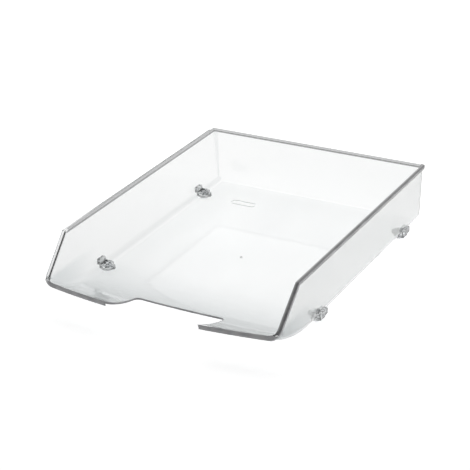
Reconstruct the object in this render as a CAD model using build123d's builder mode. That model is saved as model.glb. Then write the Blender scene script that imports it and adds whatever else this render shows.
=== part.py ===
from build123d import *
import math
import os

# ---------------------------------------------------------------------------
# Open desktop letter tray: one thin moulded tub with a turned-out rim and a
# ramped, bowed front with a finger cut-out, and four clip-in stacking feet.
# Millimetres. X across the width, +Y to the closed back, +Z up.
# Origin: centre of the bounding box in plan, on the plane the feet stand on.
# ---------------------------------------------------------------------------

# overall
WIDTH = 255.0            # over the rim
DEPTH = 338.0            # back rim to the foremost points of the bowed front lip
HEIGHT = 65.0            # standing plane to the top of the rim
WALL = 2.0               # floor and wall thickness
FOOT_DROP = 2.7          # how far the feet stand below the floor

# rim (a bead turned outward along every free upper edge)
RIM_OUT = 2.0            # overhang outside the wall
RIM_OUT_LIP = 2.1        # overhang below the ramp at the front lip
RIM_T = 2.6              # height of the bead, measured along the wall

# walls
HALF_TOP = WIDTH / 2 - RIM_OUT      # outer half width of the wall at the top
HALF_BOT = 122.5                    # outer half width of the wall at the floor
BACK_TOP = DEPTH / 2 - RIM_OUT      # outer face of the back wall at the top
BACK_BOT = 166.6                    # outer face of the back wall at the floor
R_EDGE = 9.0                        # outer radius along the sides, floor and ramp to side walls
R_BACK = 4.0                        # outer radius round the back wall, uprights and floor edge

# front
RAMP_Y0 = -79.5          # where the floor starts to rise, at X = 0
RAMP_Y0_SIDE = -91.0     # and at the side walls
LIP_Z = 27.2             # middle of the ramp sheet at the lip
LIP_Y_MID = -169.66      # middle of the lip bead, carried on across the cut-out to X = 0
LIP_Y_SIDE = -157.2      # middle of the lip bead at the corners
LIP_X_SIDE = 125.6
R_LIP_CORNER = 8.0       # plan radius where the lip turns into the side walls
SLOPE_TOP_Y = -120.2     # where the level rim starts to fall towards the lip
SLOPE_END_Z = 29.6       # height at which the falling edge reaches the lip corner

# finger cut-out
CUT_HALF = 48.8          # half width at the back
CUT_HALF_LIP = 47.4      # half width at the lip
CUT_Y = -117.3           # back edge at its ends
CUT_BOW = 1.8            # how far the back edge bows forward in the middle
R_CUT_IN = 5.0           # radius of the inner corners
R_CUT_OUT = 5.0          # radius at the lip ends
LIP_BEAD_END = 50.0      # where the bead stops beside the cut-out
NOSE_R = 1.15            # rounding of its end

# feet: a round hollow body that sits in a round window in the bottom corner
# of the tray, a tab outside the wall and two tongues that grip the floor
FOOT_X = 116.3
FOOT_Y_REAR = 125.0
FOOT_Y_FRONT = -67.0
FOOT_R = 6.5             # body
FOOT_TOP = 7.2           # top of the body
FOOT_BORE_R = 4.9        # hollow of the body, open upwards
FOOT_SOLE = 2.0          # thickness of the sole
WINDOW_R = 6.6           # window in the tray
TAB_LEN = 10.6          # outer tab, along the wall
TAB_X1 = 126.3
TAB_Z0 = 5.2
TAB_Z1 = 11.8
TONGUE_LEN = 2.3         # beyond the body, towards the middle of the tray
WEB_X1 = 123.7           # outer web under the tab, down round the bottom corner
WEB_LEN = 9.0
WEB_Z0 = 1.0

Z_FLOOR = FOOT_DROP                 # underside of the floor
Z_CAP = 90.0                        # construction height above the rim
Y_FAR = -215.0                      # construction depth in front of the lip


def half_width(z, grow):
    k = (HALF_TOP - HALF_BOT) / (HEIGHT - Z_FLOOR)
    return HALF_BOT + k * (z - Z_FLOOR) + grow


def back_face(z, grow):
    k = (BACK_TOP - BACK_BOT) / (HEIGHT - Z_FLOOR)
    return BACK_BOT + k * (z - Z_FLOOR) + grow


def lip_y(x):
    return LIP_Y_MID + (LIP_Y_SIDE - LIP_Y_MID) * (x / LIP_X_SIDE) ** 2


def ramp_y0(x):
    return RAMP_Y0 + (RAMP_Y0_SIDE - RAMP_Y0) * (x / LIP_X_SIDE) ** 2


def ramp_radius(x):
    """Radius of the middle surface of the ramp in the plane X = x."""
    d = ramp_y0(x) - lip_y(x)
    h = LIP_Z - (Z_FLOOR + WALL / 2)
    return (d * d + h * h) / (2 * h)


def ramp_section(x, grow, below):
    """Wire in the plane X = x around the space under the ramp surface that
    lies `grow` below the underside of the sheet (negative: above it)."""
    rm = ramp_radius(x)
    zc = Z_FLOOR + WALL / 2 + rm
    r = rm + WALL / 2 + grow
    a_end = math.radians(48.0)
    y0 = ramp_y0(x)
    p0 = (y0, zc - r)
    pm = (y0 - r * math.sin(a_end / 2), zc - r * math.cos(a_end / 2))
    p1 = (y0 - r * math.sin(a_end), zc - r * math.cos(a_end))
    pl = Plane(origin=(x, 0, 0), x_dir=(0, 1, 0), z_dir=(1, 0, 0))
    with BuildSketch(pl) as sec:
        with BuildLine():
            ThreePointArc(p0, pm, p1)
            Polyline(p1, (Y_FAR - 20, p1[1]), (Y_FAR - 20, below), (y0, below), p0)
        make_face()
    return sec.sketch


def ramp_void(grow):
    with BuildPart() as void:
        for x in (-150.0, -75.0, 0.0, 75.0, 150.0):
            add(ramp_section(x, grow, -60.0))
        loft()
    return void.part


def tub(grow, grow_floor, radius, radius_back):
    """Solid tub: outer surface of the moulding moved out by `grow`
    (walls) and `grow_floor` (floor and ramp)."""
    zb = Z_FLOOR - grow_floor
    void = ramp_void(grow_floor)
    with BuildPart() as body:
        for z in (zb, Z_CAP):
            hw = half_width(z, grow)
            yb = back_face(z, grow)
            with BuildSketch(Plane.XY.offset(z)):
                with Locations((0, (yb + Y_FAR) / 2)):
                    Rectangle(2 * hw, yb - Y_FAR)
        loft()
        add(void, mode=Mode.SUBTRACT)
        # long bottom edges: floor to side walls, and on up the ramp
        low = []
        for e in body.edges():
            bb = e.bounding_box()
            if bb.max.X - bb.min.X > 50:
                continue                      # across the tray
            if bb.min.Z > Z_CAP - 1 or abs(bb.max.Y - bb.min.Y) < 20:
                continue                      # open top, uprights, far face
            low.append(e)
        fillet(low, radius)
        # outline of the back wall, except its open top
        back = []
        for e in body.edges():
            bb = e.bounding_box()
            if bb.min.Y > back_face(zb, grow) - 1.0 and bb.min.Z < Z_CAP - 1:
                back.append(e)
        fillet(back, radius_back)
    return body.part


outer_form = tub(0.0, 0.0, R_EDGE, R_BACK)
inner_form = tub(-WALL, -WALL, R_EDGE - WALL, R_BACK - WALL)
bead_form = tub(RIM_OUT, RIM_OUT_LIP, R_EDGE + RIM_OUT_LIP, R_BACK + RIM_OUT)

# --- plan outline of everything behind the lip, with the finger cut-out -----
LIP_FRONT_MID = LIP_Y_MID - RIM_T / 2
LIP_FRONT_SIDE = LIP_Y_SIDE - RIM_T / 2
XE = WIDTH / 2


def lip_front(x):
    return LIP_FRONT_MID + (LIP_FRONT_SIDE - LIP_FRONT_MID) * (x / LIP_X_SIDE) ** 2


def plan(inset, cut):
    h = XE - inset
    with BuildSketch() as sk:
        with BuildLine():
            a = (-h, lip_front(h) + inset)
            m = (0, lip_front(0) + inset)
            b = (h, lip_front(h) + inset)
            ThreePointArc(a, m, b)
            Polyline(b, (h, 190), (-h, 190), a)
        make_face()
        corners = sk.vertices().sort_by(Axis.Y)[:2]
        fillet(corners, R_LIP_CORNER - inset)
        if cut:
            with BuildSketch(mode=Mode.PRIVATE) as notch:
                with BuildLine():
                    c0 = (-CUT_HALF, CUT_Y)
                    c1 = (0, CUT_Y - CUT_BOW)
                    c2 = (CUT_HALF, CUT_Y)
                    ThreePointArc(c0, c1, c2)
                    flare = (CUT_HALF - CUT_HALF_LIP) / (CUT_Y + 167.0)
                    far = CUT_HALF_LIP - flare * 23.0
                    Polyline(c2, (far, -190), (-far, -190), c0)
                make_face()
            add(notch.sketch, mode=Mode.SUBTRACT)
            inner = [v for v in sk.vertices() if abs(abs(v.X) - CUT_HALF) < 0.5 and v.Y > -140]
            fillet(inner, R_CUT_IN)
            tips = [v for v in sk.vertices() if abs(abs(v.X) - CUT_HALF_LIP) < 0.5 and v.Y < -150]
            fillet(tips, R_CUT_OUT)
    return sk.sketch


with BuildPart() as keep_plan:
    add(plan(0.0, True))
    extrude(amount=80)

# --- side profile: level rim, then the falling edge down to the lip ---------
SLOPE_END_Y = SLOPE_TOP_Y - (HEIGHT - SLOPE_END_Z) * 37.2 / 36.3
YZ = Plane(origin=(0, 0, 0), x_dir=(0, 1, 0), z_dir=(1, 0, 0))
with BuildPart() as keep_side:
    with BuildSketch(YZ):
        with BuildLine():
            Polyline((190, -5), (190, HEIGHT), (SLOPE_TOP_Y, HEIGHT),
                     (SLOPE_END_Y, SLOPE_END_Z), (-200, SLOPE_END_Z), (-200, -5), (190, -5))
        make_face()
    extrude(amount=140, both=True)

# --- bead ------------------------------------------------------------------
ang = math.atan2(36.3, 37.2)
shift = RIM_T * math.tan(ang / 2)
cosa, sina = math.cos(ang), math.sin(ang)
with BuildPart() as band_rim:
    with BuildSketch(YZ):
        with BuildLine():
            p_a = (SLOPE_TOP_Y, HEIGHT)
            p_b = (SLOPE_END_Y, SLOPE_END_Z)
            q_a = (SLOPE_TOP_Y + shift, HEIGHT - RIM_T)
            q_b = (SLOPE_END_Y + RIM_T * sina, SLOPE_END_Z - RIM_T * cosa)
            Polyline((190, HEIGHT), p_a, p_b, q_b, q_a, (190, HEIGHT - RIM_T), (190, HEIGHT))
        make_face()
    extrude(amount=140, both=True)
    # only the side walls and the back carry this part of the bead
    with BuildSketch(Plane.XY.offset(0)):
        with Locations((0, -100)):
            Rectangle(2 * 114.0, 460)
    extrude(amount=90, mode=Mode.SUBTRACT)
    with BuildSketch(Plane.XY.offset(HEIGHT - RIM_T)):
        with Locations((0, 172)):
            Rectangle(2 * 116.0, 60)
    extrude(amount=RIM_T)

with BuildPart() as band_lip:
    add(plan(0.0, False))
    extrude(amount=SLOPE_END_Z)
    add(plan(RIM_T, False))
    extrude(amount=SLOPE_END_Z, mode=Mode.SUBTRACT)
    with BuildSketch(Plane.XY):
        with Locations((0, 0)):
            Rectangle(2 * LIP_BEAD_END, 400)
        with Locations((0, 25)):
            Rectangle(400, 2 * 175)
    extrude(amount=SLOPE_END_Z, mode=Mode.SUBTRACT)
    # the bead ends in a round nose beside the cut-out
    nose = [e for e in band_lip.edges().filter_by(Axis.Z)
            if abs(abs(e.center().X) - LIP_BEAD_END) < 0.3]
    fillet(nose, NOSE_R)

with BuildPart() as bead:
    add(band_rim.part)
    add(band_lip.part)
    add(bead_form, mode=Mode.INTERSECT)
    add(inner_form, mode=Mode.SUBTRACT)

# --- the tray ----------------------------------------------------------------
with BuildPart() as tray_shell:
    add(outer_form)
    add(inner_form, mode=Mode.SUBTRACT)
    add(keep_plan.part, mode=Mode.INTERSECT)
    add(keep_side.part, mode=Mode.INTERSECT)
    add(bead.part)
    # windows for the feet
    with BuildSketch(Plane.XY.offset(-1)):
        with Locations(*[(sx * FOOT_X, y) for sx in (-1, 1) for y in (FOOT_Y_REAR, FOOT_Y_FRONT)]):
            Circle(WINDOW_R)
    extrude(amount=FOOT_TOP + 0.1 + 1, mode=Mode.SUBTRACT)
    # blank moulded frame on the underside of the floor, towards the back
    with BuildSketch(Plane.XY.offset(Z_FLOOR)):
        with Locations((-64, 120)):
            SlotOverall(29, 9.5)
            SlotOverall(27.2, 7.7, mode=Mode.SUBTRACT)
    extrude(amount=0.35, mode=Mode.SUBTRACT)
    # gate mark
    with BuildSketch(Plane.XY.offset(Z_FLOOR)):
        with Locations((-4, 6.5)):
            Circle(1.3)
    extrude(amount=-0.4)
tray_shell.part.label = "tray_shell"


def foot(sx, y, name):
    """One clip-in foot. sx is the side (+1 right, -1 left)."""
    with BuildPart() as tab:
        with BuildSketch(Plane.XY.offset(TAB_Z0)):
            with Locations((sx * (TAB_X1 + 118.0) / 2, y)):
                Rectangle(TAB_X1 - 118.0, TAB_LEN)
        extrude(amount=TAB_Z1 - TAB_Z0)
        fillet(tab.edges().filter_by(Axis.X), 1.2)
        fillet(tab.faces().sort_by(Axis.X)[-1 if sx > 0 else 0].edges(), 0.5)
        with BuildSketch(Plane.XY.offset(WEB_Z0)):
            with Locations((sx * (WEB_X1 + 116.0) / 2, y)):
                Rectangle(WEB_X1 - 116.0, WEB_LEN)
        extrude(amount=TAB_Z0 + 0.8 - WEB_Z0)
        add(outer_form, mode=Mode.SUBTRACT)
    with BuildPart() as f:
        with BuildSketch(Plane.XY):
            with Locations((sx * FOOT_X, y)):
                Circle(FOOT_R)
        extrude(amount=FOOT_TOP)
        fillet(f.edges().sort_by(Axis.Z)[0], 0.6)
        # neck that carries the tab, inside the window
        with BuildSketch(Plane.XY.offset(TAB_Z0)):
            with Locations((sx * (FOOT_X + 5.6), y)):
                Rectangle(2.6, 5.6)
        extrude(amount=FOOT_TOP - TAB_Z0)
        # hollow with a cross rib
        with BuildSketch(Plane.XY.offset(FOOT_SOLE)):
            with Locations((sx * FOOT_X, y)):
                Circle(FOOT_BORE_R)
                Rectangle(2 * FOOT_BORE_R + 1, 1.2, mode=Mode.SUBTRACT)
                Rectangle(1.2, 2 * FOOT_BORE_R + 1, mode=Mode.SUBTRACT)
        extrude(amount=10, mode=Mode.SUBTRACT)
        # tongues above and below the floor sheet
        tx = FOOT_X - FOOT_R - TONGUE_LEN / 2 + 0.6
        with BuildSketch(Plane.XY.offset(Z_FLOOR + WALL + 0.05)):
            with Locations((sx * tx, y)):
                RectangleRounded(TONGUE_LEN + 1.2, 3.4, 0.8)
        extrude(amount=1.6)
        with BuildSketch(Plane.XY.offset(Z_FLOOR - 0.05)):
            with Locations((sx * tx, y)):
                RectangleRounded(TONGUE_LEN + 1.2, 3.4, 0.8)
        extrude(amount=-1.5)
        add(tab.part)
        add(tray_shell.part, mode=Mode.SUBTRACT)
    solids = f.part.solids().sort_by(SortBy.VOLUME)
    if len(solids) > 1:
        print(name, "extra solids", [round(s.volume, 3) for s in solids])
    f.part.label = name
    return f.part


foot_rear_left = foot(-1, FOOT_Y_REAR, "foot_rear_left")
foot_rear_right = foot(1, FOOT_Y_REAR, "foot_rear_right")
foot_front_left = foot(-1, FOOT_Y_FRONT, "foot_front_left")
foot_front_right = foot(1, FOOT_Y_FRONT, "foot_front_right")

os.makedirs("parts", exist_ok=True)
export_step(tray_shell.part, "parts/tray_shell.step")
export_step(foot_rear_left, "parts/foot_rear_left.step")
export_step(foot_rear_right, "parts/foot_rear_right.step")
export_step(foot_front_left, "parts/foot_front_left.step")
export_step(foot_front_right, "parts/foot_front_right.step")

for nm, p in (("tray_shell", tray_shell.part), ("foot_rear_left", foot_rear_left),
              ("foot_rear_right", foot_rear_right), ("foot_front_left", foot_front_left),
              ("foot_front_right", foot_front_right)):
    bb = p.bounding_box()
    print(nm, "solids", len(p.solids()), "volume", round(p.volume, 1), "valid", p.is_valid,
          "x %.2f %.2f y %.2f %.2f z %.2f %.2f" % (bb.min.X, bb.max.X, bb.min.Y, bb.max.Y, bb.min.Z, bb.max.Z))
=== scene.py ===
import math
import bpy
from mathutils import Matrix, Vector


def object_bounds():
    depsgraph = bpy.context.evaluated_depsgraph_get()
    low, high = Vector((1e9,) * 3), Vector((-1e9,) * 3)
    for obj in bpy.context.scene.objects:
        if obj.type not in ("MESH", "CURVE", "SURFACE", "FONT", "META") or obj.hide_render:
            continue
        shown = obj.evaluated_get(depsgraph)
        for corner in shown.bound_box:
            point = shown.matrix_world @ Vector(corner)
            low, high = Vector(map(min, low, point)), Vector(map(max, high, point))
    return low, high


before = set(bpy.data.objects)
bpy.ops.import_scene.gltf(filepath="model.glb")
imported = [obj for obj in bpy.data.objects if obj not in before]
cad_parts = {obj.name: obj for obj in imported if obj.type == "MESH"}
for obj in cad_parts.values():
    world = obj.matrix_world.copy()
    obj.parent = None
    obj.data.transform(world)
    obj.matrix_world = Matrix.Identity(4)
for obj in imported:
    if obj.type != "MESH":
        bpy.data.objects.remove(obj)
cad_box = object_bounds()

scene = bpy.context.scene

# ------------------------------------------------------------ node helpers
def new_material(name):
    m = bpy.data.materials.new(name)
    m.use_nodes = True
    nt = m.node_tree
    for n in list(nt.nodes):
        nt.nodes.remove(n)
    return m, nt


class Maths:
    """Short way to write arithmetic on scalar sockets."""

    def __init__(self, nt, x=-2200, y=-900):
        self.nt, self.x, self.y, self.k = nt, x, y, 0

    def __call__(self, op, *args, clamp=False):
        n = self.nt.nodes.new("ShaderNodeMath")
        n.operation = op
        n.use_clamp = clamp
        n.location = (self.x + 170 * (self.k % 8), self.y - 170 * (self.k // 8))
        self.k += 1
        for i, a in enumerate(args):
            if isinstance(a, (int, float)):
                n.inputs[i].default_value = a
            else:
                self.nt.links.new(a, n.inputs[i])
        return n.outputs[0]

    def ramp(self, value, lo, hi):
        """0 below lo, 1 above hi, smooth between."""
        n = self.nt.nodes.new("ShaderNodeMapRange")
        n.interpolation_type = "SMOOTHSTEP"
        n.location = (self.x + 170 * (self.k % 8), self.y - 170 * (self.k // 8))
        self.k += 1
        self.nt.links.new(value, n.inputs["Value"])
        n.inputs["From Min"].default_value = lo
        n.inputs["From Max"].default_value = hi
        n.inputs["To Min"].default_value = 0.0
        n.inputs["To Max"].default_value = 1.0
        return n.outputs["Result"]


def zones(nt, coord):
    """Masks for the painted shade and painted highlights on the clear moulding:
    the rim, falling edges, lip, walls, edges and ramp darkened as painted shade, the overhangs lightened as painted
    highlights, and the real gate mark. All in metres. Returns (wall, edges, level rim, falling edges and lip, overhang
    of the bead outside the wall, ramp, gate mark, lit left overhang)."""
    sep = nt.nodes.new("ShaderNodeSeparateXYZ")
    sep.location = (-2400, -900)
    nt.links.new(coord.outputs["Object"], sep.inputs[0])
    x, y, z = sep.outputs
    mm = Maths(nt)
    ax = mm("ABSOLUTE", x)
    h = mm("SUBTRACT", z, 0.0027)
    out_x = mm("SUBTRACT", mm("SUBTRACT", ax, 0.1225), mm("MULTIPLY", h, 0.04815))
    out_y = mm("SUBTRACT", mm("SUBTRACT", y, 0.1666), mm("MULTIPLY", h, 0.00642))
    # painted highlight on the overhang; the level rim, falling edge and lip below carry painted shade
    over = mm.ramp(mm("MAXIMUM", out_x, out_y), 0.0001, 0.0005)
    level = mm.ramp(z, 0.0614, 0.0621)
    # distance below the falling edge, measured square to it
    s = mm("ADD", mm("MULTIPLY", mm("ADD", y, 0.1202), -0.6984),
           mm("MULTIPLY", mm("SUBTRACT", z, 0.065), 0.7157))
    slope = mm("MULTIPLY", mm.ramp(s, -0.0030, -0.0024), mm.ramp(ax, 0.1205, 0.1215))
    # bowed outline of the lip in plan
    xr = mm("DIVIDE", ax, 0.1256)
    front = mm("ADD", mm("MULTIPLY", mm("MULTIPLY", xr, xr), 0.01246), -0.17096)
    inside = mm("SUBTRACT", y, front)
    lip = mm("MULTIPLY", mm("SUBTRACT", 1.0, mm.ramp(inside, 0.0024, 0.0030)),
             mm.ramp(ax, 0.0485, 0.0500))
    # painted shade of the curved ramp, fading out over the floor, and sooner up the side walls
    fade = mm("MAXIMUM", mm.ramp(y, -0.150, -0.040),
              mm("MULTIPLY", mm.ramp(y, -0.150, -0.070), mm.ramp(ax, 0.1130, 0.1190)))
    ramp = mm("MULTIPLY", mm("SUBTRACT", 1.0, fade), mm("SUBTRACT", 1.0, mm.ramp(z, 0.026, 0.034)))
    # painted shade along the foot of the side walls near the front and up the back corners
    foot_edge = mm("MULTIPLY", mm("MULTIPLY", mm.ramp(ax, 0.1150, 0.1190), mm.ramp(y, -0.125, -0.080)),
                   mm("SUBTRACT", 1.0, mm.ramp(z, 0.0055, 0.0100)))
    upright = mm("MULTIPLY", mm.ramp(ax, 0.1185, 0.1205), mm.ramp(y, 0.1625, 0.1645))
    edges = mm("MAXIMUM", foot_edge, upright)
    gx = mm("ADD", x, 0.004)
    gy = mm("SUBTRACT", y, 0.0065)
    gr = mm("SQRT", mm("ADD", mm("MULTIPLY", gx, gx), mm("MULTIPLY", gy, gy)))
    gate = mm("MULTIPLY", mm("SUBTRACT", 1.0, mm.ramp(gr, 0.0009, 0.0016)),
              mm("SUBTRACT", 1.0, mm.ramp(z, 0.008, 0.009)))
    # painted shade: the side and back walls a little darker than the floor
    wall = mm.ramp(mm("MAXIMUM", mm("SUBTRACT", ax, 0.1150), mm("SUBTRACT", y, 0.1620)), 0.0, 0.0050)
    # painted highlight on the overhang of the falling bead on the left
    left_over_highlight = mm("MULTIPLY", mm("MULTIPLY", slope, over), mm("SUBTRACT", 1.0, mm.ramp(x, -0.001, 0.001)))
    # painted shade on the outer face just under the falling bead on the right, which reads as part of it
    under = mm("MULTIPLY", mm.ramp(s, -0.0048, -0.0040), mm("MULTIPLY", mm.ramp(x, 0.1215, 0.1222), mm.ramp(out_x, -0.0010, -0.0003)))
    return (wall, edges, level, mm("MAXIMUM", mm("MAXIMUM", slope, lip), under), over, ramp, gate,
            mm("MULTIPLY", left_over_highlight, mm("SUBTRACT", 1.0, lip)))


def lit_side(nt, coord):
    """1 on the half of the bead that gathers light: outside the wall on the
    left and at the back, inside it on the right. 0 along the front lip."""
    sep = nt.nodes.new("ShaderNodeSeparateXYZ")
    sep.location = (-2400, -900)
    nt.links.new(coord.outputs["Object"], sep.inputs[0])
    x, y, z = sep.outputs
    mm = Maths(nt)
    ax = mm("ABSOLUTE", x)
    h = mm("SUBTRACT", z, 0.0027)
    out_x = mm("SUBTRACT", mm("SUBTRACT", ax, 0.1225), mm("MULTIPLY", h, 0.04815))
    out_y = mm("SUBTRACT", mm("SUBTRACT", y, 0.1666), mm("MULTIPLY", h, 0.00642))
    right = mm.ramp(x, -0.001, 0.001)
    outer = mm.ramp(mm("MAXIMUM", mm("SUBTRACT", out_x, mm("MULTIPLY", right, 1.0)), out_y), -0.0002, 0.0006)
    inner = mm("MULTIPLY", mm("SUBTRACT", 1.0, mm.ramp(out_x, -0.0010, -0.0002)),
               mm("MULTIPLY", right, mm.ramp(ax, 0.1200, 0.1210)))
    away = mm("MAXIMUM", mm.ramp(z, 0.031, 0.033), mm("SUBTRACT", 1.0, mm.ramp(ax, 0.0, 0.0001)))
    return mm("MULTIPLY", mm("MAXIMUM", outer, inner), away)


def clear_plastic(name, tint_a, tint_b, rough_lo, rough_hi, ior, wave,
                  shadow_tint, speckle, bead, through=1.0, grain=(9.0, 4.0, 9.0),
                  painted_highlight=None, thick=False, contrast=0.25):
    """Injection-moulded clear polystyrene: faint flow variation in tint,
    a polished skin with slight waviness and fine handling marks."""
    m, nt = new_material(name)
    L = nt.links.new

    def add(kind, x, y):
        n = nt.nodes.new(kind)
        n.location = (x, y)
        return n

    out = add("ShaderNodeOutputMaterial", 900, 0)
    mix = add("ShaderNodeMixShader", 700, 0)
    path = add("ShaderNodeLightPath", 450, 300)
    lamp = add("ShaderNodeBsdfTransparent", 450, -350)
    lamp.inputs["Color"].default_value = (*shadow_tint, 1)
    body = add("ShaderNodeBsdfPrincipled", 350, 0)
    body.inputs["Transmission Weight"].default_value = through
    body.inputs["IOR"].default_value = ior
    body.inputs["Metallic"].default_value = 0.0

    coord = add("ShaderNodeTexCoord", -2600, 0)
    # slow flow lines of the melt, drawn out from the gate
    stretch = add("ShaderNodeMapping", -1100, 200)
    stretch.inputs["Scale"].default_value = grain
    flow = add("ShaderNodeTexNoise", -900, 200)
    flow.inputs["Scale"].default_value = 1.6
    flow.inputs["Detail"].default_value = 3.0
    flow.inputs["Roughness"].default_value = 0.45
    tint = add("ShaderNodeMix", -600, 250)
    tint.data_type = "RGBA"
    tint.inputs[6].default_value = (*tint_a, 1)
    tint.inputs[7].default_value = (*tint_b, 1)
    # fine handling marks and dust in the polish
    fine = add("ShaderNodeTexNoise", -900, -100)
    fine.inputs["Scale"].default_value = speckle
    fine.inputs["Detail"].default_value = 6.0
    fine.inputs["Roughness"].default_value = 0.6
    polish = add("ShaderNodeMapRange", -600, -100)
    polish.inputs["From Min"].default_value = 0.35
    polish.inputs["From Max"].default_value = 0.75
    polish.inputs["To Min"].default_value = rough_lo
    polish.inputs["To Max"].default_value = rough_hi
    # sink and draw marks: a very shallow wave in the skin
    ripple = add("ShaderNodeTexNoise", -900, -400)
    ripple.inputs["Scale"].default_value = 14.0
    ripple.inputs["Detail"].default_value = 1.5
    bump = add("ShaderNodeBump", -100, -400)
    bump.inputs["Strength"].default_value = 1.0
    bump.inputs["Distance"].default_value = wave

    L(coord.outputs["Object"], stretch.inputs["Vector"])
    L(stretch.outputs["Vector"], flow.inputs["Vector"])
    spread = add("ShaderNodeMapRange", -750, 350)
    spread.inputs["From Min"].default_value = 0.5 - contrast
    spread.inputs["From Max"].default_value = 0.5 + contrast
    L(flow.outputs["Fac"], spread.inputs["Value"])
    L(spread.outputs["Result"], tint.inputs[0])
    colour = tint.outputs[2]
    # painted shade on walls, edges, ramp, rim and lip, painted highlights on the overhangs, and the real gate mark
    if bead:
        wall, edges, level, falling, over, ramp, gate, lit = zones(nt, coord)
        for k, (mask, shade) in enumerate(((wall, WALL_PAINTED_SHADE), (edges, EDGE_PAINTED_SHADE), (ramp, RAMP_PAINTED_SHADE), (gate, GATE_TINT),
                                           (level, RIM_PAINTED_SHADE), (falling, LIP_PAINTED_SHADE), (lit, LIT_PAINTED_HIGHLIGHT))):
            if k == 4:                       # painted highlight: the overhang is lighter than the wall edge
                shade_mix = add("ShaderNodeMix", -500, 600)
                shade_mix.data_type = "RGBA"
                shade_mix.inputs[6].default_value = (*RIM_PAINTED_SHADE, 1)
                shade_mix.inputs[7].default_value = (*OVER_PAINTED_HIGHLIGHT, 1)
                L(over, shade_mix.inputs[0])
            m2 = add("ShaderNodeMix", -400 + 170 * k, 250)
            m2.data_type = "RGBA"
            m2.inputs[7].default_value = (*shade, 1)
            if k == 4:
                L(shade_mix.outputs[2], m2.inputs[7])
            L(mask, m2.inputs[0])
            L(colour, m2.inputs[6])
            colour = m2.outputs[2]
    # painted highlight on the half of the bead that gathers light
    if painted_highlight:
        glow = add("ShaderNodeMix", -200, 500)
        glow.data_type = "RGBA"
        glow.inputs[7].default_value = (*painted_highlight, 1)
        L(lit_side(nt, coord), glow.inputs[0])
        L(colour, glow.inputs[6])
        colour = glow.outputs[2]
    L(colour, body.inputs["Base Color"])
    L(coord.outputs["Object"], fine.inputs["Vector"])
    L(fine.outputs["Fac"], polish.inputs["Value"])
    L(polish.outputs["Result"], body.inputs["Roughness"])
    L(coord.outputs["Object"], ripple.inputs["Vector"])
    L(ripple.outputs["Fac"], bump.inputs["Height"])
    L(bump.outputs["Normal"], body.inputs["Normal"])
    if thick:                                # no light comes straight through
        L(body.outputs["BSDF"], out.inputs["Surface"])
        for n in (mix, path, lamp):
            nt.nodes.remove(n)
        return m
    L(path.outputs["Is Shadow Ray"], mix.inputs[0])
    L(body.outputs["BSDF"], mix.inputs[1])
    L(lamp.outputs["BSDF"], mix.inputs[2])
    L(mix.outputs["Shader"], out.inputs["Surface"])
    return m


# painted shade: the dark level rim at the top of the inner wall
RIM_PAINTED_SHADE = (0.20, 0.203, 0.205)
# painted highlight: the overhang of the rim outside the wall
OVER_PAINTED_HIGHLIGHT = (0.95, 0.955, 0.955)
# painted shade: the falling edges and the lip
LIP_PAINTED_SHADE = (0.55, 0.555, 0.56)
# painted shade: the curved ramp at the front of the floor
RAMP_PAINTED_SHADE = (0.615, 0.637, 0.642)
GATE_TINT = (0.5, 0.5, 0.5)
# painted shade: the foot of the side walls near the front and the back corners
EDGE_PAINTED_SHADE = (0.70, 0.71, 0.71)
# painted highlight: the lit overhang on the left
LIT_PAINTED_HIGHLIGHT = (0.95, 0.955, 0.955)
# painted shade: the side and back walls a little darker than the floor
WALL_PAINTED_SHADE = (0.765, 0.771, 0.770)
tray_mat = clear_plastic("clear_polystyrene_tray", (0.785, 0.794, 0.793), (0.830, 0.837, 0.836),
                         0.05, 0.09, 1.5, 0.00005, (0.97, 0.975, 0.975), 30.0, True)
# the bead round the edge, where the moulding is thickest: its grey is painted shade, its lit half a painted highlight
rim_mat = clear_plastic("clear_polystyrene_bead", (0.27, 0.27, 0.28), (0.50, 0.50, 0.51),
                        0.12, 0.22, 1.5, 0.00008, (0.85, 0.86, 0.86), 120.0, False,
                        through=0.25, grain=(60.0, 45.0, 160.0), painted_highlight=(0.80, 0.805, 0.805),
                        thick=True)
# the same bead on the left and at the back, which lets the light through
side_mat = clear_plastic("clear_polystyrene_edge", (0.785, 0.794, 0.793), (0.830, 0.837, 0.836),
                         0.05, 0.09, 1.15, 0.00003, (0.97, 0.975, 0.975), 30.0, True)
foot_mat = clear_plastic("clear_polystyrene_foot", (0.36, 0.37, 0.375), (0.96, 0.97, 0.975),
                         0.08, 0.15, 1.5, 0.00010, (0.85, 0.87, 0.88), 260.0, False,
                         through=0.90, grain=(150.0, 150.0, 150.0), contrast=0.12)

for name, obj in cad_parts.items():
    mat = tray_mat if name == "tray_shell" else foot_mat
    if not obj.material_slots:
        obj.data.materials.append(mat)
    for sl in obj.material_slots:
        sl.material = mat


def on_bead(v):
    """True for a vertex of the bead down the right side and round the lip."""
    ax = abs(v.x)
    s = (v.y + 0.1202) * -0.6984 + (v.z - 0.065) * 0.7157
    if v.x > 0.1205 and (v.z > 0.0623 or s > -0.00275):
        return True
    front = 0.01246 * (ax / 0.1256) ** 2 - 0.17096
    return ax > 0.0440 and v.y - front < 0.00275


def on_side(v):
    """True for a vertex of the level bead on the left and at the back."""
    return v.z > 0.0623


def on_cut(v):
    """True for a vertex round the finger cut-out."""
    return abs(v.x) < 0.0490 and -0.1720 < v.y < -0.1160


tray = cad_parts["tray_shell"]
tray.data.materials.append(rim_mat)
tray.data.materials.append(side_mat)
for poly in tray.data.polygons:
    corners = [tray.data.vertices[i].co for i in poly.vertices]
    if all(on_bead(v) for v in corners) or (abs(poly.normal.z) < 0.3 and all(on_cut(v) for v in corners)):
        poly.material_index = 1
    elif all(on_side(v) for v in corners):
        poly.material_index = 2

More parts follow.
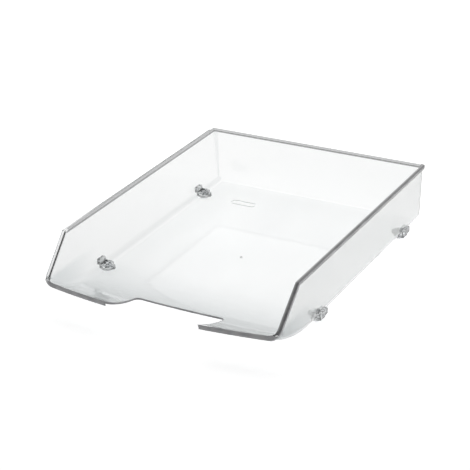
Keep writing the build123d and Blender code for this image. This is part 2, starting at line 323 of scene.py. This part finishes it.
# ------------------------------------------------------------------- floor
# painted light: the floor glows, brighter towards the back, standing in for lamp light and washing out the tray's
# shadow
GLOW_FRONT, GLOW_REAR = 0.60, 0.765
floor_mat, nt = new_material("studio_floor")
out = nt.nodes.new("ShaderNodeOutputMaterial")
bs = nt.nodes.new("ShaderNodeBsdfPrincipled")
bs.inputs["Base Color"].default_value = (0.9, 0.9, 0.9, 1)
bs.inputs["Roughness"].default_value = 0.9
bs.inputs["Emission Color"].default_value = (1, 1, 1, 1)
co = nt.nodes.new("ShaderNodeTexCoord")
sp = nt.nodes.new("ShaderNodeSeparateXYZ")
gl = nt.nodes.new("ShaderNodeMapRange")
gl.interpolation_type = "SMOOTHSTEP"
gl.inputs["From Min"].default_value = -0.25
gl.inputs["From Max"].default_value = 0.22
gl.inputs["To Min"].default_value = GLOW_FRONT
gl.inputs["To Max"].default_value = GLOW_REAR
nt.links.new(co.outputs["Object"], sp.inputs[0])
nt.links.new(sp.outputs[1], gl.inputs["Value"])
nt.links.new(gl.outputs["Result"], bs.inputs["Emission Strength"])
nt.links.new(bs.outputs["BSDF"], out.inputs["Surface"])
lo, hi = cad_box
bpy.ops.mesh.primitive_plane_add(size=30.0, location=(0, 0, float(lo[2]) - 0.0002))
floor = bpy.context.active_object
floor.name = "studio_floor"
floor.data.materials.append(floor_mat)

# ------------------------------------------------------------------- light
world = bpy.data.worlds.new("studio")
scene.world = world
world.use_nodes = True
wn = world.node_tree
for n in list(wn.nodes):
    wn.nodes.remove(n)
wo = wn.nodes.new("ShaderNodeOutputWorld")
bg = wn.nodes.new("ShaderNodeBackground")
tc = wn.nodes.new("ShaderNodeTexCoord")
dot = wn.nodes.new("ShaderNodeVectorMath")
dot.operation = "DOT_PRODUCT"
dot.inputs[1].default_value = (-0.45, 0.80, -0.1)
mr = wn.nodes.new("ShaderNodeMapRange")
mr.interpolation_type = "SMOOTHSTEP"
mr.inputs["From Min"].default_value = -0.35
mr.inputs["From Max"].default_value = 0.55
mr.inputs["To Min"].default_value = 0.12
mr.inputs["To Max"].default_value = 1.0
wn.links.new(tc.outputs["Generated"], dot.inputs[0])
wn.links.new(dot.outputs["Value"], mr.inputs["Value"])
wn.links.new(mr.outputs["Result"], bg.inputs["Strength"])
wn.links.new(bg.outputs[0], wo.inputs[0])


def area(name, loc, target, size, power):
    li = bpy.data.lights.new(name, "AREA")
    li.shape = "RECTANGLE"
    li.size, li.size_y = size
    li.energy = power
    o = bpy.data.objects.new(name, li)
    scene.collection.objects.link(o)
    o.location = loc
    d = Vector(target) - Vector(loc)
    o.rotation_euler = d.to_track_quat("-Z", "Y").to_euler()
    return o


area("key", (-0.9, 0.9, 1.9), (0, 0, 0.02), (1.6, 1.2), 10)

# ------------------------------------------------------------------ camera
az, el, roll = math.radians(30.19), math.radians(25.95), math.radians(-2.26)
back = Vector((math.sin(az) * math.cos(el), -math.cos(az) * math.cos(el), math.sin(el)))
right0 = (-back).cross(Vector((0, 0, 1))).normalized()
up0 = right0.cross(-back)
right = math.cos(roll) * right0 + math.sin(roll) * up0
up = -math.sin(roll) * right0 + math.cos(roll) * up0
pos = Vector((0.0, 0.00405, 0.0327)) + back * 1.47494 + right * -0.00744 + up * -0.00175
cam_data = bpy.data.cameras.new("camera")
cam_data.sensor_width = 36.0
cam_data.lens = 1482.72 / 470.0 * 36.0
cam_data.clip_start = 0.05
cam_data.clip_end = 60.0
cam = bpy.data.objects.new("camera", cam_data)
scene.collection.objects.link(cam)
cam.matrix_world = Matrix((
    (right.x, up.x, back.x, pos.x),
    (right.y, up.y, back.y, pos.y),
    (right.z, up.z, back.z, pos.z),
    (0, 0, 0, 1)))
scene.camera = cam
scene.view_settings.view_transform = "Standard"
